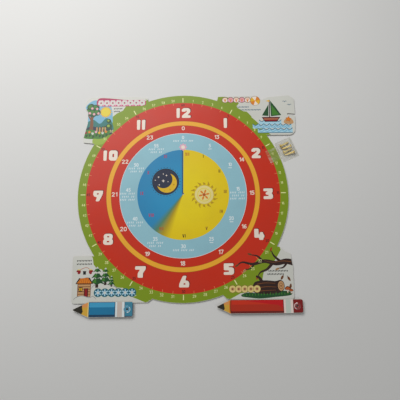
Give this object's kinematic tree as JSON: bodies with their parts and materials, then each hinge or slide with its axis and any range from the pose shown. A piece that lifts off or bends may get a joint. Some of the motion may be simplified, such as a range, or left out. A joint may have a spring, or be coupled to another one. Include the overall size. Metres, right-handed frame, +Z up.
{
  "type": "card teaching clock",
  "caption": "Flat die-cut card teaching clock with corner lobes, loose pencil-shaped hands on eyelets, and a film sachet of brass split pins.",
  "frame": {"origin": "centre of the dial's hole on the underside of the board", "axes": "+Z up out of the printed face, +Y to twelve o'clock, +X to three o'clock"},
  "size_m": [0.2824, 0.2786, 0.0056],
  "materials": {
    "card_core": "bare grey board, fibrous cut edge",
    "printed_dial": "offset print under a thin gloss laminate",
    "printed_hour_hand": "offset print under a thin gloss laminate",
    "printed_minute_hand": "offset print under a thin gloss laminate",
    "blue_lacquer": "gloss lacquer on rolled metal",
    "red_lacquer": "gloss lacquer on rolled metal",
    "pin_brass": "thin brassed sheet, slightly tarnished",
    "clear_film": "clear crinkled film"
  },
  "bodies": {
    "dial": {"dial_board": "card_core", "dial_face_sheet": "printed_dial"},
    "hour_eyelet": {"hour_hand_eyelet": "blue_lacquer"},
    "hour_hand": {"hour_hand_board": "card_core", "hour_hand_face_sheet": "printed_hour_hand"},
    "minute_eyelet": {"minute_hand_eyelet": "red_lacquer"},
    "minute_hand": {"minute_hand_board": "card_core", "minute_hand_face_sheet": "printed_minute_hand"},
    "sachet": {"sachet_back_film": "clear_film", "sachet_front_film": "clear_film", "sachet_flap": "clear_film", "split_pin_caps": "pin_brass", "split_pin_legs": "pin_brass"}
  },
  "joints": [
    {"name": "hour_hand_place", "type": "slide", "parent": "dial", "child": "hour_eyelet", "axis": [0.4328, 0.9015, 0], "range_m": [0, 0.15297]},
    {"name": "hour_hand_turn", "type": "hinge", "parent": "hour_eyelet", "child": "hour_hand", "pos_m": [-0.0662, -0.1379, 0.0014], "axis": [0, 0, -1], "continuous": true},
    {"name": "minute_hand_place", "type": "slide", "parent": "dial", "child": "minute_eyelet", "axis": [-0.7013, 0.7128, 0.012], "range_m": [0, 0.19136]},
    {"name": "minute_hand_turn", "type": "hinge", "parent": "minute_eyelet", "child": "minute_hand", "pos_m": [0.1342, -0.1364, 0.0014], "axis": [0, 0, -1], "continuous": true},
    {"name": "sachet_lift", "type": "slide", "parent": "dial", "child": "sachet", "axis": [0, 0, 1], "range_m": [0, 0.05]}
  ]
}
